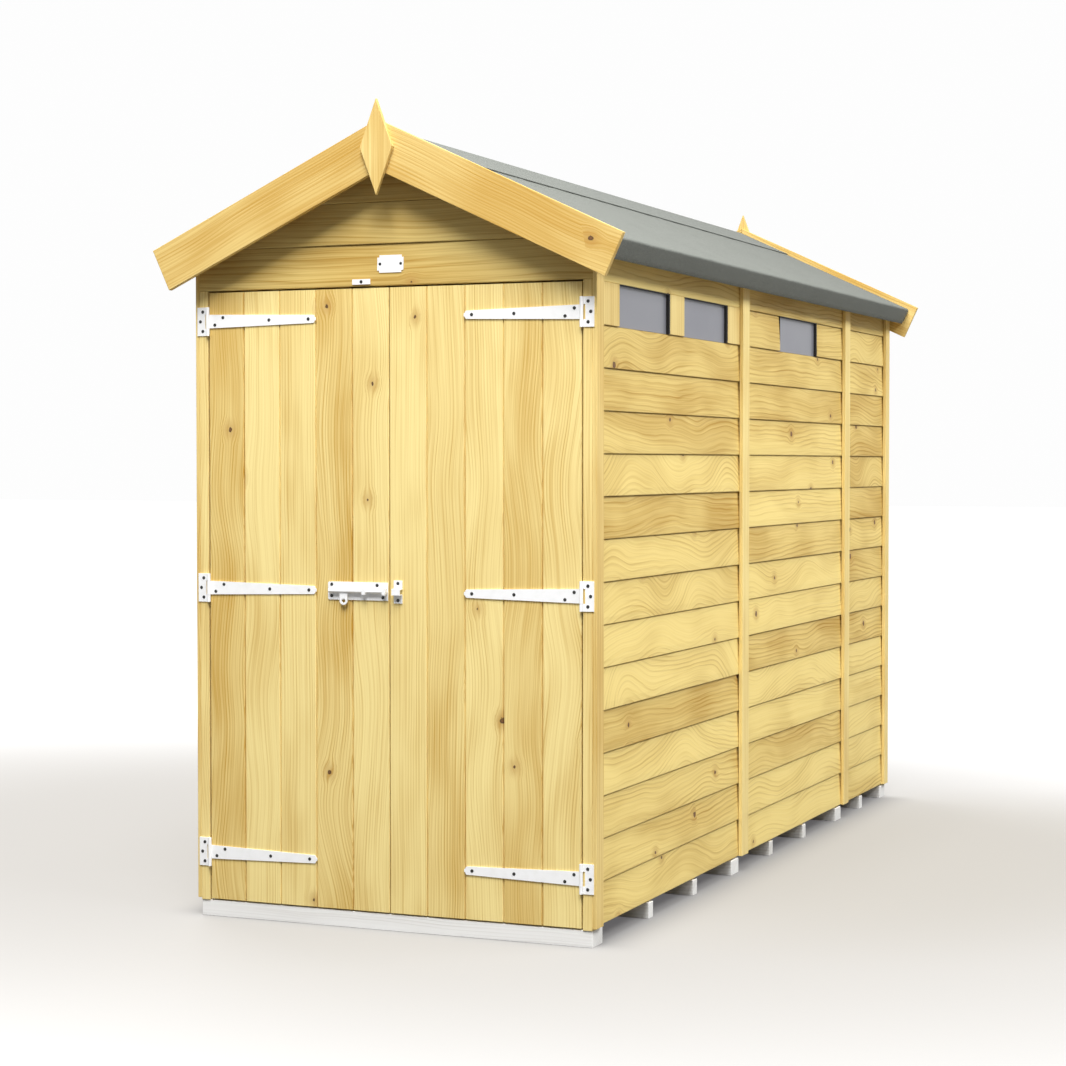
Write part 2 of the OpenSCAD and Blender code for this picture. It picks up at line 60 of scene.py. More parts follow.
# %% [markdown]
# ## Sums of shader sockets
# A material is a graph of nodes, and wiring each node by hand hides what the material does. `Val`
# wraps one output socket, so that a formula such as `0.5 + 0.2 * streaks` adds its maths nodes by
# itself. Every other kind of node comes from `node()`, which takes the type, the settings and the
# sockets.


# %% One socket as a value
class Val:
    """One output socket of a node tree."""

    def __init__(self, tree, socket=None):
        self.tree, self.socket = tree, socket

    def node(self, kind, settings=None, sockets=None, out=0):
        made = self.tree.nodes.new("ShaderNode" + kind)
        for name, value in (settings or {}).items():
            setattr(made, name, value)
        for key, value in (sockets or {}).items():
            if isinstance(value, Val):
                self.tree.links.new(value.socket, made.inputs[key])
            else:
                made.inputs[key].default_value = value
        return Val(self.tree, made.outputs[out])

    def maths(self, operation, *values):
        return self.node("Math", {"operation": operation}, dict(enumerate(values)))

    def __add__(self, other):
        return self.maths("ADD", self, other)

    def __sub__(self, other):
        return self.maths("SUBTRACT", self, other)

    def __rsub__(self, other):
        return self.maths("SUBTRACT", other, self)

    def __mul__(self, other):
        return self.maths("MULTIPLY", self, other)

    def __truediv__(self, other):
        return self.maths("DIVIDE", self, other)

    def __rtruediv__(self, other):
        return self.maths("DIVIDE", other, self)

    __radd__ = __add__
    __rmul__ = __mul__

    def out(self, index):
        """Another output of the node that this one comes from."""
        return Val(self.tree, self.socket.node.outputs[index])

    def smooth(self, low, high):
        """0 at low and 1 at high, with soft ends."""
        sockets = {"Value": self, "From Min": low, "From Max": high}
        return self.node("MapRange", {"interpolation_type": "SMOOTHSTEP"}, sockets)

    def mix(self, a, b):
        """Colour a where this is 0 and colour b where it is 1."""
        return self.node("Mix", {"data_type": "RGBA"}, {0: self, 6: a, 7: b}, out=2)

    def vector(self, x, y, z):
        return self.node("CombineXYZ", None, {0: x, 1: y, 2: z})

    def noise(self, vector, detail=2.0, scale=1.0):
        return self.node("TexNoise", None, {"Vector": vector, "Scale": scale, "Detail": detail})


print("values that add, multiply and mix:", Val.__name__)


# %% Colours and materials
def grey(level):
    return (level, level, level, 1.0)


def linear(r, g, b):
    """An sRGB colour of 0 to 255 as linear values with alpha."""
    parts = [c / 255 for c in (r, g, b)]
    return tuple(c / 12.92 if c <= 0.04045 else ((c + 0.055) / 1.055) ** 2.4 for c in parts) + (1.0,)


def new_material(name):
    """A material with a Principled shader, and the value that its formulas start from."""
    material = bpy.data.materials.new(name)
    material.use_nodes = True
    return material, Val(material.node_tree)


def finish_material(material, colour, roughness, height, distance, strength=0.6):
    """Feeds the shader: colour, roughness and a bump from a height."""
    tree = material.node_tree
    shader = tree.nodes["Principled BSDF"]
    bump = height.node("Bump", None, {"Strength": strength, "Distance": distance, "Height": height})
    tree.links.new(colour.socket, shader.inputs["Base Color"])
    tree.links.new(roughness.socket, shader.inputs["Roughness"])
    tree.links.new(bump.socket, shader.inputs["Normal"])
    return material


print("mid grey in linear values:", round(linear(128, 128, 128)[0], 3))

# %% [markdown]
# ## Knots
# A knot is a cut branch: a small dark oval with a warm halo, and the grain parts around it. Knots
# could be modelled, but they lie flush in the planed wood, so colour is enough. A Voronoi texture
# puts one random point in each cell of a stretched grid, and only a share of those points becomes a
# knot.

# %% Where the knots are
KNOTS_ALONG, KNOTS_ACROSS = 3.1, 9.0


def knots_in(start, x, y, seed, share):
    """Distance to the edge of the nearest knot, below 0 inside it, and from its middle across."""
    cell_x, cell_y = x * KNOTS_ALONG + seed * 53.0, y * KNOTS_ACROSS + seed * 91.0
    sockets = {"Vector": start.vector(cell_x, cell_y, 0.0), "Scale": 1.0}
    cell = start.node("TexVoronoi", {"voronoi_dimensions": "2D"}, sockets)
    chance = cell.node("SeparateColor", None, {0: cell.out(1)})
    point = cell.node("SeparateXYZ", None, {0: cell.out(2)})
    off_x, off_y = (cell_x - point) / KNOTS_ALONG, (cell_y - point.out(1)) / KNOTS_ACROSS
    ragged = start.noise(start.vector(x * 110.0, y * 110.0, seed * 3.0), 1.0) - 0.5
    away = start.maths("SQRT", off_x * off_x * 0.6 + off_y * off_y) + ragged * 0.007
    present = chance.maths("GREATER_THAN", chance, 1.0 - share)
    size = present * (1.001 + 0.008 * chance.out(1)) - 1.0
    return away - size, off_y


print("knot cells in a square metre of board:", round(KNOTS_ALONG * KNOTS_ACROSS))

# %% [markdown]
# ## Softwood
# The shed is planed softwood under a pale preservative. Its year rings show as fine dark lines that
# run along a board, wander on some boards and stay straight on others. A picture of wood would
# repeat from board to board. Instead each board carries its own coordinates: `grain` holds the
# distance along the board, the distance across it and a seed, and `tone` makes the whole board
# paler or darker.

# %% One recipe for wood
KNOT_HALO, KNOT_DARK, KNOT_PALE = (178, 130, 58), (74, 48, 22), (112, 74, 34)
FIBRES, GRAIN_HEIGHT = 260.0, 0.0006


def softwood(
    name, light, dark, knots, swirl=0.1, ring_depth=0.4, streak_depth=0.5, spread=0.6, rings=110.0
):
    """Wood between two colours. swirl bends the rings, and there are so many rings to a metre."""
    material, start = new_material(name)
    grain = start.node("Attribute", {"attribute_name": "grain"}, out=1)
    tone = start.node("Attribute", {"attribute_name": "tone"}, out=2)
    x = grain.node("SeparateXYZ", None, {0: grain})
    y, seed = x.out(1), x.out(2)
    edge, off_y = knots_in(start, x, y, seed, knots)
    knot, halo = edge.smooth(0.0012, -0.0012), edge.smooth(0.036, 0.0)
    # Rings wander, more on lively boards, and part around a knot
    lively = start.maths("FRACT", seed * 17.0)
    wander = start.noise(start.vector(x * 2.1 + seed * 31.0, y * 1.3, seed * 7.0), 0.6) - 0.5
    curl = start.noise(start.vector(x * 7.0, y * 16.0, seed * 11.0), 1.0) - 0.5
    sway = wander * (swirl * (0.15 + 2.1 * lively * lively)) + curl * (swirl * 0.05)
    bent = y + sway - off_y * halo * 0.8
    drift = start.noise(start.vector(x * 1.2, y * 5.0, seed * 23.0), 1.0)
    phase = start.maths("FRACT", bent * rings + drift * 6.0 + seed * 6.0)
    late = phase.smooth(0.45, 0.95) * phase.smooth(1.0, 0.95)
    # Rings fade in and out, fibres run along the board, and broad patches tint it
    broad = start.noise(start.vector(x * 0.9, bent * 20.0, seed * 19.0), 2.0).smooth(0.38, 0.66)
    fibre = start.noise(start.vector(x * 1.6, bent * FIBRES, seed * 5.0), 3.0).smooth(0.35, 0.75)
    patch = start.noise(start.vector(x * 2.2 + seed, bent * 7.0, seed * 3.0), 2.0).smooth(0.38, 0.68)
    lines = late * (0.12 + 0.95 * broad) * ring_depth + fibre * streak_depth * 0.5
    depth = lines + tone * spread + patch * 0.28 - 0.16
    wood = depth.smooth(-0.15, 1.15).mix(linear(*light), linear(*dark))
    warm = (halo * halo * 0.45).mix(wood, linear(*KNOT_HALO))
    core = edge.smooth(-0.0005, -0.005).mix(linear(*KNOT_DARK), linear(*KNOT_PALE))
    height = fibre * 0.45 + late * broad * 0.15 + knot * 0.35
    roughness = 0.62 + 0.16 * fibre
    return finish_material(material, knot.mix(warm, core), roughness, height, GRAIN_HEIGHT, 0.55)


print("knot colours:", KNOT_DARK, KNOT_PALE)

# %% The kinds of wood on this shed
pine = {
    "boards": softwood(
        "softwood boards", (244, 219, 138), (172, 128, 34),
        knots=0.2, swirl=0.24, ring_depth=0.34, streak_depth=0.36, spread=0.46, rings=70.0,
    ),
    "door_timber": softwood(
        "softwood doors", (247, 226, 154), (190, 143, 40),
        knots=0.14, swirl=0.08, ring_depth=0.34, streak_depth=0.66, spread=0.54, rings=120.0,
    ),
    "trim_timber": softwood(
        "softwood trim", (249, 227, 154), (194, 150, 62),
        knots=0.08, swirl=0.05, ring_depth=0.28, streak_depth=0.54, spread=0.66, rings=110.0,
    ),
    "frame_timber": softwood("sawn softwood", (242, 216, 146), (198, 156, 80), knots=0.2),
    "bearers": softwood(
        "weathered bearers", (246, 245, 242), (206, 201, 193),
        knots=0.0, swirl=0.12, ring_depth=0.42, streak_depth=0.5, spread=0.3,
    ),
}
gable_mat = softwood(
    "softwood gable", (240, 216, 138), (170, 128, 38),
    knots=0.12, swirl=0.05, ring_depth=0.24, streak_depth=0.5, spread=0.44, rings=60.0,
)
print("softwood materials:", sorted(pine), "and", gable_mat.name)

# %% [markdown]
# ## Felt
# Shed felt is a bitumen sheet covered with mineral granules. Close up it is a fine speckle, and
# from a few steps away it is a dull grey with broad, faint stains. Scattering real granules would
# cost millions of faces, so a fine noise drives both the speckle and a small bump.

# %% Granules
GRIT, GRIT_HEIGHT = 420.0, 0.0011


def speckled(name, base, light, dark):
    material, start = new_material(name)
    place = start.node("TexCoord", out=3)
    fine = start.noise(place, 2.0, GRIT)
    cloud = start.noise(place, 3.0, 3.5)
    stain = start.noise(place, 4.0, 14.0)
    stains = cloud.smooth(0.35, 0.7) * 0.14 + stain.smooth(0.4, 0.7) * 0.1
    ground = stains.mix(linear(*base), linear(*dark))
    colour = fine.smooth(0.5, 0.68).mix(ground, linear(*light))
    colour = fine.smooth(0.46, 0.34).mix(colour, linear(*dark))
    return finish_material(material, colour, 0.86 + 0.1 * stain, fine, GRIT_HEIGHT, 0.8)


felt_mat = speckled("mineral felt", (101, 104, 98), (121, 123, 117), (82, 85, 79))
ridge_mat = speckled("ridge felt", (99, 102, 97), (130, 132, 126), (88, 91, 85))
print("felt materials:", felt_mat.name, ridge_mat.name)

# %% [markdown]
# ## Coated metal and glazing
# The hinges and the bolt have a white coat with a little wear in the gloss, the screws are black,
# and the panes are thin milky sheets behind near-black beads, whose black is partly painted shade of
# the window reveal. Clear glass would show the inside of the shed, but the real panes hide it, so
# they are an opaque sheet with a weak clear coat.

# %% Coats
COAT_GRAIN, COAT_HEIGHT = 700.0, 0.00008


def coated(name, tint, shade, rough, patches=38.0):
    material, start = new_material(name)
    place = start.node("TexCoord", out=3)
    wear = start.noise(place, 4.0, patches)
    fine = start.noise(place, 2.0, COAT_GRAIN)
    colour = wear.smooth(0.42, 0.72).mix(linear(*tint), linear(*shade))
    return finish_material(material, colour, rough + 0.18 * wear, fine, COAT_HEIGHT, 0.3)


white_mat = coated("white coated steel", (248, 248, 248), (243, 243, 242), 0.32)
screw_mat = coated("black screws", (16, 15, 14), (26, 24, 22), 0.45)
# Near-black bead: partly the bead's own colour and partly painted shade of the window reveal.
bead_and_shade_mat = coated("glazing bead and reveal shade", (14, 12, 11), (26, 21, 17), 0.6)
pane_mat = coated("milky glazing", (128, 129, 136), (119, 120, 129), 0.3, patches=2.0)
pane_mat.node_tree.nodes["Principled BSDF"].inputs["Coat Weight"].default_value = 0.15
print("coats:", white_mat.name, screw_mat.name, bead_and_shade_mat.name, pane_mat.name)

# %% The slot that each material fills
slot_of = {material.name: slot for slot, material in pine.items()}
slot_of[gable_mat.name] = "boards"
slot_of.update({m.name: "felt" for m in (felt_mat, ridge_mat)})
slot_of.update({m.name: "white_metal" for m in (white_mat, screw_mat)})
slot_of.update({m.name: "panes" for m in (bead_and_shade_mat, pane_mat)})
print("materials with a slot:", len(slot_of))

# %% [markdown]
# ## A builder for timber
# A wall, a door or a deck is a row of boards. They could be separate objects, but a few hundred
# objects are slow to handle, so `Timber` gathers the boards of one section into one mesh and still
# gives each board its own grain. A board is a profile that runs from one end to the other. The ends
# may depend on the profile's point, which cuts gable boards along the roof slope.

# %% Boards in one mesh
SLANT = 0.7


class Timber:
    """Boards that become one piece, each with its own grain."""

    def __init__(self):
        self.points, self.faces, self.grain, self.tones = [], [], [], []

    def board(self, profile, place, start, end, tone=None):
        """profile holds points (out, across); place(out, across, along) gives a point in space."""
        first = len(self.points)
        seed, shift = rng.random(), rng.uniform(0, 9)
        tone = rng.random() if tone is None else tone
        ends = [e if callable(e) else (lambda value: lambda across: value)(e) for e in (start, end)]
        for e in ends:
            for out, across in profile:
                along = e(across)
                self.points.append(place(out, across, along))
                self.grain.append((along + shift, across + SLANT * out, seed))
                self.tones.append(tone)
        n = len(profile)
        self.faces.append(tuple(first + i for i in range(n)))
        self.faces.append(tuple(first + n + i for i in reversed(range(n))))
        for i in range(n):
            j = (i + 1) % n
            self.faces.append((first + i, first + n + i, first + n + j, first + j))

    def make(self, name, material, body, node=None):
        mesh = bpy.data.meshes.new(name)
        mesh.from_pydata(self.points, [], self.faces)
        grain = mesh.attributes.new("grain", "FLOAT_VECTOR", "POINT")
        grain.data.foreach_set("vector", [c for row in self.grain for c in row])
        tone = mesh.attributes.new("tone", "FLOAT", "POINT")
        tone.data.foreach_set("value", self.tones)
        work = bmesh.new()
        work.from_mesh(mesh)
        bmesh.ops.recalc_face_normals(work, faces=work.faces)
        work.to_mesh(mesh)
        work.free()
        return finish_piece(name, mesh, material, body, node)


print("builder:", Timber.__name__)


# %% Finishing a piece
def ease_edges(piece, width):
    """Planed timber and pressed steel have no knife edges: a small bevel catches the light."""
    edge = piece.modifiers.new("eased edges", "BEVEL")
    edge.width, edge.segments, edge.limit_method = width, 2, "ANGLE"


def finish_piece(name, mesh, material, body, node=None, bevel=0.0):
    """An object from a mesh, with its material, its body and the node that it stands for."""
    piece = bpy.data.objects.new(name, mesh)
    bpy.context.collection.objects.link(piece)
    mesh.materials.append(material)
    if bevel:
        ease_edges(piece, bevel)
    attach(piece, body)
    if node:
        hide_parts(node)
    return piece


# %% [markdown]
# ## Lapped walls
# The walls are overlap boards. A board is thick at its lower edge and stands proud of the board
# below it, so rain runs off and every course throws a thin shadow line. A bump map could fake that
# line from the front, but not along the corners and the windows. So each board is a real profile,
# and it lies up to a millimetre back from its place, as nailed boards do.

# %% Sizes of the walls
PITCH, THICK, LAP, LAND, SLOT = 0.113, 0.014, 0.005, 0.020, 0.0018
ROOF_ANGLE = math.radians(25)
right_low, right_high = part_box("right_boards_front")
front_low, front_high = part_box("front_gable")
FACE_X, WALL_Z, FRONT_Y, BACK_Y = right_high.x, right_low.z, front_low.y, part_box("back_boards")[1].y
SLOPE, APEX_Z = math.tan(ROOF_ANGLE), front_high.z
LEAN = LAP / (PITCH - LAND)
print("walls: half width", round(FACE_X, 3), "front", round(FRONT_Y, 3), "back", round(BACK_Y, 3))

# %% The section of one board
UNEVEN, SHORTEST, HIDDEN = 0.0009, 0.004, 0.002 - THICK
ROUNDED_FOOT = ((0.0022, 0.0002), (0.0006, 0.0009), (0.0, 0.0025))


def lap_profile(base, top):
    """Points (out, height) of one lapped board, with a thin dark slot under the board above it."""
    back = -rng.uniform(0, UNEVEN)
    rows = [(-THICK, base + ROUNDED_FOOT[0][1])]
    rows += [(back - inward, base + up) for inward, up in ROUNDED_FOOT]
    if top - base > LAND + SLOT:
        rows += [(back, base + LAND), (back - LEAN * (top - SLOT - base - LAND), top - SLOT)]
        rows += [(HIDDEN, top - 0.7 * SLOT), (HIDDEN, top)]
    else:
        rows.append((back, top))
    return rows + [(-THICK, top)]


def courses(low, high):
    """Lower and upper edge of each board between two heights."""
    k = round((low - WALL_Z) / PITCH)
    edges = []
    while WALL_Z + k * PITCH < high - SHORTEST:
        edges.append((WALL_Z + k * PITCH, min(WALL_Z + (k + 1) * PITCH, high)))
        k += 1
    return edges


print("courses up to the eave:", len(courses(right_low.z, right_high.z)))

# %% Side walls with their window gaps
PANES = ((0.198, 0.406), (0.725, 0.403), (1.673, 0.433))
PROBE = 0.05
pane_low, pane_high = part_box("window_panes")
SILL, HEAD = pane_low.z, pane_high.z


def side_wall(name, node, side, window=None, skip=False):
    """A wall section; window is a gap in y between sill and head, skip leaves out that whole course."""
    low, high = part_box(node)
    wall = Timber()
    for base, top in courses(low.z, high.z):
        at_window = SILL < base + PROBE < HEAD
        if skip and at_window:
            continue
        spans = [(low.y, high.y)]
        if window and at_window:
            spans = [(low.y, window[0]), (window[1], high.y)]
        tone = rng.random()
        for from_y, to_y in spans:
            section = lap_profile(base, top)
            wall.board(section, lambda o, a, t: (side * (FACE_X + o), t, a), from_y, to_y, tone)
    return wall.make(name, pine["boards"], "shed", node)


third_start = FRONT_Y + PANES[2][0]
third_end = third_start + PANES[2][1]
side_wall("right_wall_front", "right_boards_front", 1, skip=True)
side_wall("right_wall_middle", "right_boards_middle", 1, window=(third_start, third_end))
side_wall("right_wall_back", "right_boards_back", 1)
for part in ("front", "middle", "back"):
    side_wall("left_wall_" + part, "left_boards_" + part, -1)
print("side walls: 6 sections")

# %% Gable and back wall
TIP, TOP_GAP = 0.0015, 0.002


def end_wall(name, node, face_y, out_y, material, tone=None):
    """A wall whose boards are cut along the roof slope."""
    low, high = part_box(node)
    wall = Timber()

    def reach(across):
        return max(TIP, min(FACE_X, (APEX_Z - across) / SLOPE))

    for base, top in courses(low.z, high.z - TOP_GAP):
        wall.board(
            lap_profile(base, top),
            lambda o, a, t: (t, face_y + out_y * o, a),
            lambda a: -reach(a),
            reach,
            tone if tone is None else tone + rng.uniform(-0.1, 0.1),
        )
    return wall.make(name, material, "shed", node)


# The gable boards all get the darkest tone: painted shade that stands in for the shadow under the
# bargeboards.
end_wall("gable_front", "front_gable", FRONT_Y, -1, gable_mat, tone=1.0)
end_wall("wall_back", "back_boards", BACK_Y, 1, pine["boards"])
print("end walls: gable and back")

# %% [markdown]
# ## Doors
# Each door is five tongued boards. The joints show as fine grooves, and the boards differ in tone.
# A single slab with drawn lines would look flat when the door swings, so every board has eased
# corners and a tongue in the next groove, which keeps daylight out. The outer boards close a little
# of the gap around the leaf.


# %% Tongued boards
def plank(width, thick, ease=0.0014, tongue=0.0):
    """A flat board with eased corners, from 0 to width across, with its face at 0, and a tongue."""
    w, e = width, ease
    edge = [(-e, w), (-thick + e, w)]
    if tongue:
        upper, lower = -0.4 * thick, -0.7 * thick
        edge[1:1] = [(upper, w), (upper, w + tongue), (lower, w + tongue), (lower, w)]
    return [(0, e), (0, w - e)] + edge + [(-thick, w - e), (-thick, e), (-thick + e, 0), (-e, 0)]


print("points of a tongued board:", len(plank(0.1, 0.015, tongue=0.003)))

# %% Hanging boards on a leaf
GROOVE, CLOSER, DOOR_EASE = 0.0030, 0.0010, 0.0018
DOOR_UNEVEN, TONGUE_GAP, DOOR_CLEAR = 0.0005, 0.0002, 0.0006


def door(name, node, body, tones):
    low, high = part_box(node)
    leaf = Timber()
    pitch = (high.x - low.x + 2 * CLOSER + GROOVE) / len(tones)
    for k, tone in enumerate(tones):
        left = low.x - CLOSER + k * pitch
        inset = rng.uniform(0, DOOR_UNEVEN)
        tongue = GROOVE - TONGUE_GAP if k + 1 < len(tones) else 0.0
        leaf.board(
            plank(pitch - GROOVE, high.y - low.y - DOOR_CLEAR, DOOR_EASE, tongue),
            lambda o, a, t: (left + a, low.y + inset - o, t),
            low.z,
            high.z,
            tone,
        )
    return leaf.make(name, pine["door_timber"], body, node)


door("door_boards_right", "right_door_boards", "right_door", (0.2, 0.5, 0.1, 0.6, 0.2))
door("door_boards_left", "left_door_boards", "left_door", (0.75, 0.2, 0.25, 0.65, 0.2))
print("doors: 10 boards")

# %% [markdown]
# ## Floor and roof boards
# The floor is boarded along the shed, and so is the roof under its felt. They are seen only when
# the doors stand open or from below the eave, so plain planks with eased corners are enough.

# %% Floor
DECK_BOARDS, DECK_JOINT = 10, 0.001
deck_low, deck_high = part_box("floor_deck")
deck = Timber()
step = (deck_high.x - deck_low.x) / DECK_BOARDS
for k in range(DECK_BOARDS):
    deck.board(
        plank(step - DECK_JOINT, deck_high.z - deck_low.z),
        lambda o, a, t: (deck_low.x + k * step + a, t, deck_high.z + o),
        deck_low.y,
        deck_high.y,
    )
deck.make("deck_boards", pine["frame_timber"], "shed", "floor_deck")
print("deck boards:", DECK_BOARDS, "each", round(step, 3), "wide")

# %% Roof
ROOF_BOARDS, ROOF_START, ROOF_TOP, ROOF_THICK = 6, 0.0072, 0.00305, 0.0119
ROOF_JOINT, EAVE_INSET = 0.0006, 0.0032
COS, SIN = math.cos(ROOF_ANGLE), math.sin(ROOF_ANGLE)
felt_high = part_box("right_felt")[1]
FELT_Z, EAVE = felt_high.z, felt_high.x / COS


def on_slope(side, down, below):
    """A point in x and z on a roof slope: distance down the slope and below the felt's top."""
    return side * (down * COS - below * SIN), FELT_Z - down * SIN - below * COS


roof_low, roof_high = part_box("right_roof_boards")
step = (EAVE - EAVE_INSET - ROOF_START) / ROOF_BOARDS
for side, label in ((1, "right"), (-1, "left")):
    roof = Timber()

    def on_roof(out, across, along):
        x, z = on_slope(side, ROOF_START + k * step + across, ROOF_TOP - out)
        return (x, along, z)

    for k in range(ROOF_BOARDS):
        roof.board(plank(step - ROOF_JOINT, ROOF_THICK), on_roof, roof_low.y, roof_high.y)
    roof.make("roof_boards_" + label, pine["frame_timber"], "shed", label + "_roof_boards")
print("roof boards:", 2 * ROOF_BOARDS)

# %% [markdown]
# ## The other timbers
# Studs, rails, strips, posts, bearers, ledges, braces, bargeboards and finials are single sawn or
# planed pieces, and the CAD already has their shape. Each solid is copied, its flat triangles are
# joined, it gets grain along its longest edge, and its edges are eased. Short posts and the finials
# get upright grain.


# %% The separate solids in a mesh
def solids_of(work):
    """Lists of the vertices that hang together, in the order in which they are met."""
    seen, groups = set(), []
    for first in work.verts:
        if first in seen:
            continue
        group, queue = [], [first]
        seen.add(first)
        while queue:
            v = queue.pop()
            group.append(v)
            for e in v.link_edges:
                w = e.other_vert(v)
                if w not in seen:
                    seen.add(w)
                    queue.append(w)
        groups.append(group)
    return groups


print("helper for solids:", solids_of.__name__)


# %% The way the grain runs
def grain_axes(group, upright):
    """Directions along the grain, across it and into the wood."""
    edges = [e for v in group for e in v.link_edges]
    longest = max(edges, key=lambda e: e.calc_length())
    start, end = (v.co for v in longest.verts)
    along = Vector((0, 0, 1)) if upright else (end - start).normalized()
    guide = Vector((0, 1, 0)) if abs(along.y) < 0.9 else Vector((0, 0, 1))
    across = along.cross(guide).normalized()
    return along, across, along.cross(across)


print("helper for grain:", grain_axes.__name__)

# %% Copying a timber
CORNER_SHADE, CORNER_REACH, TIMBER_EASE, WELD, FLAT_ANGLE = 0.7, 0.1, 0.0014, 1e-5, 0.01


def copy_timber(node, material, name, tones, upright):
    work = bmesh.new()
    work.from_mesh(frame["nodes"][node].data)
    bmesh.ops.remove_doubles(work, verts=work.verts, dist=WELD)
    flat = [e for e in work.edges if e.is_manifold and e.calc_face_angle(0) < FLAT_ANGLE]
    bmesh.ops.dissolve_edges(work, edges=flat, use_verts=True)
    grain = work.verts.layers.float_vector.new("grain")
    tone = work.verts.layers.float.new("tone")
    groups = solids_of(work)
    for group in groups:
        along, across, deep = grain_axes(group, upright)
        seed, shade, shift = rng.random(), rng.uniform(*tones), rng.uniform(0, 9)
        if node == "right_strips" and group[0].co.y < FRONT_Y + CORNER_REACH:
            shade = CORNER_SHADE
        for v in group:
            v[grain] = (v.co.dot(along) + shift, v.co.dot(across) + SLANT * v.co.dot(deep), seed)
            v[tone] = shade
    mesh = bpy.data.meshes.new(name)
    work.to_mesh(mesh)
    work.free()
    finish_piece(name, mesh, material, body_of_node[node], node, TIMBER_EASE)
    return len(groups)


print("the front corner strip's shade:", CORNER_SHADE)

# %% Timbers by kind
plain = {
    "frame_timber": (
        "right_studs", "right_rails", "left_studs", "left_rails", "back_studs", "back_rails",
        "door_header", "eave_battens", "purlins",
        "right_door_ledges", "right_door_braces", "left_door_ledges", "left_door_braces",
    ),
    "trim_timber": (
        "right_strips", "left_strips", "window_posts", "door_posts",
        "front_bargeboards", "back_bargeboards", "front_finial", "back_finial",
    ),
    "bearers": ("floor_bearers",),
}
UPRIGHT = ("window_posts", "front_finial", "back_finial")
ANY_TONE = (0.0, 1.0)
tone_range = {
    "right_strips": (0.1, 0.3), "door_posts": (0.2, 0.4), "window_posts": (0.25, 0.45),
    "front_bargeboards": (0.85, 1.0), "back_bargeboards": (0.85, 1.0), "front_finial": (0.62, 0.66),
}
total = 0
for kind, nodes in plain.items():
    for node in nodes:
        tones = tone_range.get(node, ANY_TONE)
        total += copy_timber(node, pine[kind], node + "_timber", tones, node in UPRIGHT)
print("timbers copied:", total)

# %% [markdown]
# ## Felt on the roof
# One sheet of felt covers each slope and is folded down over the eave. Real felt never lies dead
# flat, so the sheet is a grid that ripples by less than a millimetre and bends softly at the fold.
# A bevel on the CAD solid would give the bend but not the ripple. A second strip covers the ridge,
# and its edge is a dark line.

# %% Sheets
DROP, BEND, FELT_THICK, RIDGE_GAP = 0.060, 0.007, 0.003, 0.001
SLOPE_STEPS, BEND_STEPS, LENGTH_STEPS = 14, 6, 60


def felt_path():
    """Down the slope, round the fold and down the eave face to a soft lower edge."""
    path = [(RIDGE_GAP, 0.0)] + [(EAVE * i / SLOPE_STEPS, 0.0) for i in range(1, SLOPE_STEPS)]
    for i in range(BEND_STEPS + 1):
        turn = math.pi / 2 * i / BEND_STEPS
        path.append((EAVE - BEND + BEND * math.sin(turn), BEND - BEND * math.cos(turn)))
    return path + [(EAVE, 0.028), (EAVE, 0.044), (EAVE - 0.0006, 0.055), (EAVE - 0.0022, DROP)]


def felt_row(work, side, y, wave):
    """One ring of vertices across the sheet: the top, then the underside back to the ridge."""
    top, under = [], []
    for down, below in felt_path():
        on_face = below > BEND
        x, z = on_slope(side, down - (wave if on_face else 0), below + (0 if on_face else wave))
        top.append(work.verts.new((x, y, z)))
        x, z = on_slope(side, min(down, EAVE - FELT_THICK), max(below, FELT_THICK))
        under.append(work.verts.new((x, y, z)))
    return top + under[::-1]


print("points across the felt:", 2 * len(felt_path()))

# %% Laying the felt
RIPPLE, CREASE, FELT_WELD = 0.0006, math.radians(40), 1e-6


def felt_sheet(name, node, side):
    low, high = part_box(node)
    work = bmesh.new()
    rows = []
    for j in range(LENGTH_STEPS + 1):
        wave = RIPPLE * (1 + math.sin(j * 1.7 + side) * math.cos(j * 0.61))
        rows.append(felt_row(work, side, low.y + (high.y - low.y) * j / LENGTH_STEPS, wave))
    n = len(rows[0])
    for a, b in zip(rows, rows[1:]):
        for i in range(n):
            work.faces.new((a[i], a[(i + 1) % n], b[(i + 1) % n], b[i]))
    work.faces.new(rows[0])
    work.faces.new(rows[-1][::-1])
    bmesh.ops.remove_doubles(work, verts=work.verts, dist=FELT_WELD)
    bmesh.ops.recalc_face_normals(work, faces=work.faces)
    for face in work.faces:
        face.smooth = True
    mesh = bpy.data.meshes.new(name)
    work.to_mesh(mesh)
    work.free()
    mesh.set_sharp_from_angle(angle=CREASE)
    return finish_piece(name, mesh, felt_mat, "shed", node)


felt_sheet("felt_right", "right_felt", 1)
felt_sheet("felt_left", "left_felt", -1)
print("felt on two slopes, in steps of", round(EAVE / SLOPE_STEPS, 3))


# %% Painting a CAD solid
def paint(node, material):
    """A CAD solid that keeps its shape gets this material."""
    mesh = frame["nodes"][node].data
    mesh.materials.clear()
    mesh.materials.append(material)


paint("ridge_felt", ridge_mat)
print("ridge strip:", ridge_mat.name)
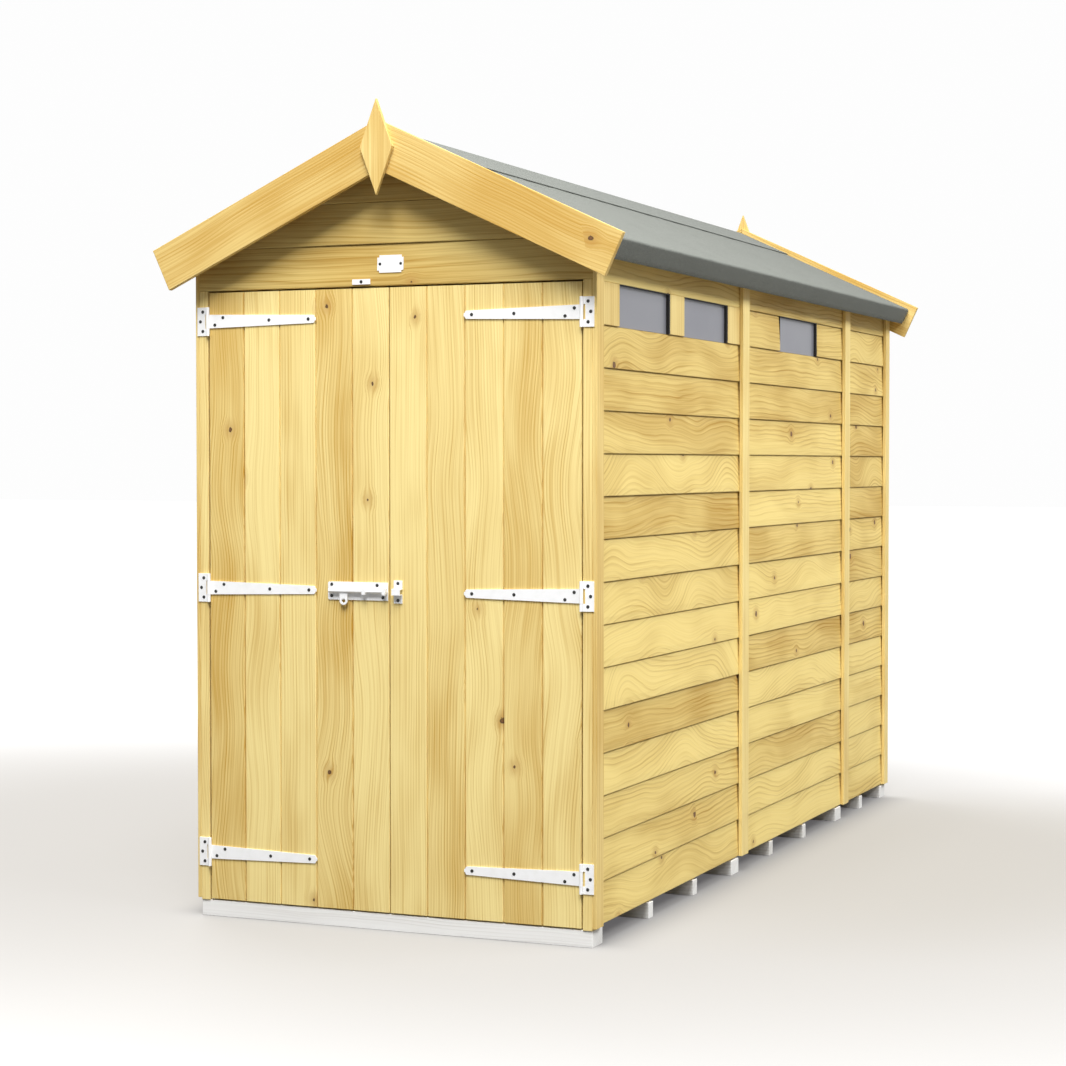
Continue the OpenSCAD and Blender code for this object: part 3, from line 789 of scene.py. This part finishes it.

# %% [markdown]
# ## Windows
# Three fixed panes sit in a row under the right eave. The panes keep the CAD's shape. A near-black
# bead holds each pane at its sides and head. It is partly a bead and partly painted shade: its black,
# and its back side drawn wider than its front side, stand in for the shade inside the window reveal.
# It is what makes the openings read as deep, so it is modelled in front of the pane. The sill has
# none: the board below the window holds the pane there.

# %% Panes and beads
# The bead at the back side of each opening is wider than at the front side: painted shade of the
# reveal.
BEAD_DEPTH, BEAD_NEAR, FAR_BEAD_AND_SHADE, BEAD_HEAD = 0.0088, 0.002, 0.009, 0.002
paint("window_panes", pane_mat)
bead = Timber()
bead_x = pane_high.x
for from_y, length in PANES:
    y0, y1 = FRONT_Y + from_y, FRONT_Y + from_y + length
    sides = (
        (y0, y0 + BEAD_NEAR, SILL, HEAD),
        (y1 - FAR_BEAD_AND_SHADE, y1, SILL, HEAD),
        (y0, y1, HEAD - BEAD_HEAD, HEAD),
    )
    for a, b, c, d in sides:
        section = [(0, c), (0, d), (BEAD_DEPTH, d), (BEAD_DEPTH, c)]
        bead.board(section, lambda o, z, y: (bead_x + o, y, z), a, b)
bead.make("window_beads_and_shade", bead_and_shade_mat, "shed")
print("window beads:", 3 * len(PANES))

# %% [markdown]
# ## Hardware
# Long T-hinges carry the doors, a sliding bolt joins them, and a small button turns over their top
# edge. All are pressed steel with a white coat, and the CAD has their shape, so they only need a
# coat and eased edges. The black screw heads are what the eye finds first: they are small domes,
# set where the holes are.

# %% White metal
METAL_EASE = 0.0004
metal = (
    "right_hinge_plates", "left_hinge_plates", "right_hinge_straps", "left_hinge_straps",
    "bolt_plate", "bolt_rod", "bolt_keeper", "turn_button",
)
for node in metal:
    paint(node, white_mat)
    ease_edges(frame["nodes"][node], METAL_EASE)
print("coated pieces:", len(metal))

# %% Screw heads
HEAD_SIDES = 14
HEAD_DOME = ((1.0, 0.0), (0.95, 0.0006), (0.7, 0.0011), (0.3, 0.0014))


def screws(name, body, spots, radius=0.0047):
    """Domed heads that face the front and stand on their spots."""
    work = bmesh.new()
    for x, y, z in spots:
        rings = []
        for size, lift in HEAD_DOME:
            r = radius * size
            spin = [2 * math.pi * i / HEAD_SIDES for i in range(HEAD_SIDES)]
            circle = [(x - r * math.cos(t), y - lift, z + r * math.sin(t)) for t in spin]
            rings.append([work.verts.new(point) for point in circle])
        for a, b in zip(rings, rings[1:]):
            for i in range(HEAD_SIDES):
                j = (i + 1) % HEAD_SIDES
                work.faces.new((a[i], a[j], b[j], b[i]))
        work.faces.new(rings[-1])
        work.faces.new(rings[0][::-1])
    bmesh.ops.recalc_face_normals(work, faces=work.faces)
    mesh = bpy.data.meshes.new(name)
    work.to_mesh(mesh)
    work.free()
    finish_piece(name, mesh, screw_mat, body)
    return len(spots)


print("faces on a screw head:", HEAD_SIDES * (len(HEAD_DOME) - 1) + 2)

# %% Screws in the hinges
METAL_THICK = 0.0025
METAL_Y = FRONT_Y - METAL_THICK
HINGE_Z, PIN_X = (0.181, 0.921, 1.661), 0.5585
PLATE_SCREWS = ((0.0175, 0.027), (0.025, 0.0), (0.0175, -0.027))
STRAP_SCREWS = ((0.021, 0.010), (0.047, -0.010), (0.192, 0.0), (0.314, 0.0))
heads = 0
for side, label in ((1, "right"), (-1, "left")):
    plate = [(side * (PIN_X + dx), METAL_Y, z + dz) for z in HINGE_Z for dx, dz in PLATE_SCREWS]
    strap = [(side * (PIN_X - dx), METAL_Y, z + side * dz) for z in HINGE_Z for dx, dz in STRAP_SCREWS]
    heads += screws(label + "_plate_screws", "shed", plate)
    heads += screws(label + "_strap_screws", label + "_door", strap)
print("hinge screws:", heads)

# %% Screws in the bolt, keeper and button
BOLT_SCREWS = ((-0.174, 0.017), (-0.174, -0.014), (-0.036, 0.0165), (-0.0185, -0.0165))
KEEPER_X, KEEPER_DZ, BUTTON_X = 0.0265, 0.023, -0.081
bolt_z = HINGE_Z[1]
screws("bolt_plate_screws", "left_door", [(x, METAL_Y, bolt_z + dz) for x, dz in BOLT_SCREWS])
keeper_z = (bolt_z + KEEPER_DZ, bolt_z - KEEPER_DZ)
screws("keeper_screws", "right_door", [(KEEPER_X, METAL_Y, z) for z in keeper_z])
button_low, button_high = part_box("turn_button")
screws("button_screw", "button", [(BUTTON_X, button_low.y, (button_low.z + button_high.z) / 2)])
print("bolt at height", bolt_z)

# %% [markdown]
# ## The bare plate
# A small white plate is screwed to the gable. It has square notches in its corners and nothing on
# it. It lies flat on a leaning board, so its own outline is pushed out along that lean.

# %% Plate with notched corners
PLATE_X, PLATE_Z, PLATE_FROM, PLATE_TO = 0.004, 1.8035, 0.0002, 0.0016
GABLE_COURSE, PLATE_SCREW_X, PLATE_SCREW_R = 15, 0.031, 0.0042
half_w, half_h, notch = 0.039, 0.0235, 0.006
in_w, in_h = half_w - notch, half_h - notch
outline = [
    (-in_w, -half_h), (in_w, -half_h), (in_w, -in_h), (half_w, -in_h),
    (half_w, in_h), (in_w, in_h), (in_w, half_h), (-in_w, half_h),
    (-in_w, in_h), (-half_w, in_h), (-half_w, -in_h), (-in_w, -in_h),
]
plate_y = FRONT_Y + LEAN * (PLATE_Z - WALL_Z - GABLE_COURSE * PITCH - LAND)


def on_gable(x, z, out):
    return (PLATE_X + x, plate_y + LEAN * z - out, PLATE_Z + z)


plate = Timber()
plate.board(outline, on_gable, PLATE_FROM, PLATE_TO)
plate.make("bare_plate", white_mat, "shed")
spots = [on_gable(x, 0.0, PLATE_TO) for x in (-PLATE_SCREW_X, PLATE_SCREW_X)]
screws("bare_plate_screws", "shed", spots, PLATE_SCREW_R)
print("bare plate:", 2 * half_w, "by", 2 * half_h)

# %% [markdown]
# ## Floor and background
# The shed stands on a pale studio floor that fades to white. If the floor were lit to white by
# lamps, the shed would be far too bright. So what the eye sees of the floor is a colour of its own
# with painted shadows in it: a painted soft shade in warm grey around the shed, a painted shadow to
# its right, a painted contact shadow along its side walls, and white far away. Rays that only carry
# light see a darker floor, which keeps the shed's own shading.

# %% Floor sheet
FLOOR_HALF = 60
corners = [(x * FLOOR_HALF, y * FLOOR_HALF, 0) for x, y in ((-1, -1), (1, -1), (1, 1), (-1, 1))]
floor_mesh = bpy.data.meshes.new("floor")
floor_mesh.from_pydata(corners, [], [(0, 1, 2, 3)])
floor = bpy.data.objects.new("floor", floor_mesh)
bpy.context.collection.objects.link(floor)


def seen_directly(start):
    """1 for rays from the camera, off a gloss or through glass, and 0 for rays that light the shed."""
    path = start.node("LightPath")
    return path.maths("MAXIMUM", path.maths("MAXIMUM", path, path.out(3)), path.out(6))


print("floor:", 2 * FLOOR_HALF, "metres square")

# %% Floor colours and painted shadows
# The white far away, and the warm grey of the painted soft shade around the shed.
FAR, SOFT_SHADE = grey(0.955), (0.48, 0.455, 0.42, 1.0)
# Colours of two painted shadows: a warm one to the right of the shed and a near-black contact shadow.
SIDE_SHADOW, CONTACT_SHADOW = (0.40, 0.37, 0.32, 1.0), (0.07, 0.07, 0.08, 1.0)
SOFT_SHADE_Y, SOFT_SHADE_END = 0.09, 1.35
floor_mat, start = new_material("pale floor")
place = start.node("TexCoord", out=3)
floor_x = place.node("SeparateXYZ", None, {0: place})
floor_y = floor_x.out(1)
from_x, from_y, right_x, right_y = floor_x + 0.6, floor_y + 0.3, floor_x - 1.1, floor_y - 0.2
# Painted soft shade: the floor is warm grey around the shed and fades to white away from it.
soft_shade = (from_x * from_x * 0.04 + from_y * from_y * SOFT_SHADE_Y).smooth(SOFT_SHADE_END, 0.05)
# Painted shadow: a warm darker patch on the floor to the right of the shed.
side_shadow = (right_x * right_x * 0.75 + right_y * right_y * 0.3).smooth(1.0, 0.0)
off_wall = floor_x.maths("ABSOLUTE", floor_x) - FACE_X
along_wall = floor_y.maths("ABSOLUTE", floor_y).smooth(1.60, 1.45)
# Painted contact shadow: a dark band on the floor along the side walls, fading out about 0.2 m from
# them.
contact_shadow = off_wall.smooth(0.20, -0.06) * along_wall
# The floor's glow is the white backdrop with the painted shadows mixed in.
glow = (side_shadow * 0.7).mix(soft_shade.mix(FAR, SOFT_SHADE), SIDE_SHADOW)
glow = (contact_shadow * contact_shadow * 0.9).mix(glow, CONTACT_SHADOW)
shown = seen_directly(start).mix(grey(0.0), glow)
print("floor is white beyond", round(math.sqrt(SOFT_SHADE_END / SOFT_SHADE_Y), 1), "metres from the shed")

# %% Floor shader
floor_shader = floor_mat.node_tree.nodes["Principled BSDF"]
floor_shader.inputs["Base Color"].default_value = grey(0.12)
floor_shader.inputs["Roughness"].default_value = 0.9
floor_shader.inputs["Emission Strength"].default_value = 1.0
floor_mat.node_tree.links.new(shown.socket, floor_shader.inputs["Emission Color"])
floor_mesh.materials.append(floor_mat)
print("floor shader nodes:", len(floor_mat.node_tree.nodes))

# %% Background
SKY_LIGHT, SKY_SEEN = grey(0.16), grey(0.985)
world = bpy.data.worlds.new("studio")
bpy.context.scene.world = world
world.use_nodes = True
tint = seen_directly(Val(world.node_tree)).mix(SKY_LIGHT, SKY_SEEN)
world.node_tree.links.new(tint.socket, world.node_tree.nodes["Background"].inputs["Color"])
print("background:", SKY_SEEN[0], "to the eye and", SKY_LIGHT[0], "as light")

# %% [markdown]
# ## Lights and camera
# A high soft key light in front shades the gable under its bargeboards. A long light at the right
# side draws the shadow under the eave and under each lap, and a light behind keeps the back of the
# roof and the far walls readable. The camera stands at the front right corner at chest height,
# looks very slightly down and has a long lens, so that upright lines stay nearly upright.


# %% Lights
def area_light(name, place, target, width, height, power):
    lamp = bpy.data.lights.new(name, "AREA")
    lamp.shape = "RECTANGLE"
    lamp.size, lamp.size_y, lamp.energy = width, height, power
    light = bpy.data.objects.new(name, lamp)
    light.location = place
    light.rotation_euler = (Vector(target) - Vector(place)).to_track_quat("-Z", "Y").to_euler()
    bpy.context.collection.objects.link(light)


area_light("key", (1.2, -5.9, 9.0), (0, -0.8, 1.0), 4.5, 4.5, 1450)
area_light("side", (6.2, 0.0, 6.9), (0, 0.2, 1.0), 9.0, 3.2, 755)
area_light("back", (-6.5, 5.0, 5.5), (0, 0.5, 1.0), 6.0, 6.0, 640)
print("lights: key, side and back")

# %% Camera
camera_data = bpy.data.cameras.new("camera")
camera_data.lens, camera_data.sensor_width = 79.1, 36
camera = bpy.data.objects.new("camera", camera_data)
camera.location = (2.805, FRONT_Y - 5.668, 1.268)
camera.rotation_euler = (math.radians(90 - 1.71), 0, math.radians(22.82))
bpy.context.collection.objects.link(camera)
bpy.context.scene.camera = camera
bpy.context.scene.view_settings.view_transform = "Standard"
print("camera at", [round(v, 3) for v in camera.location])
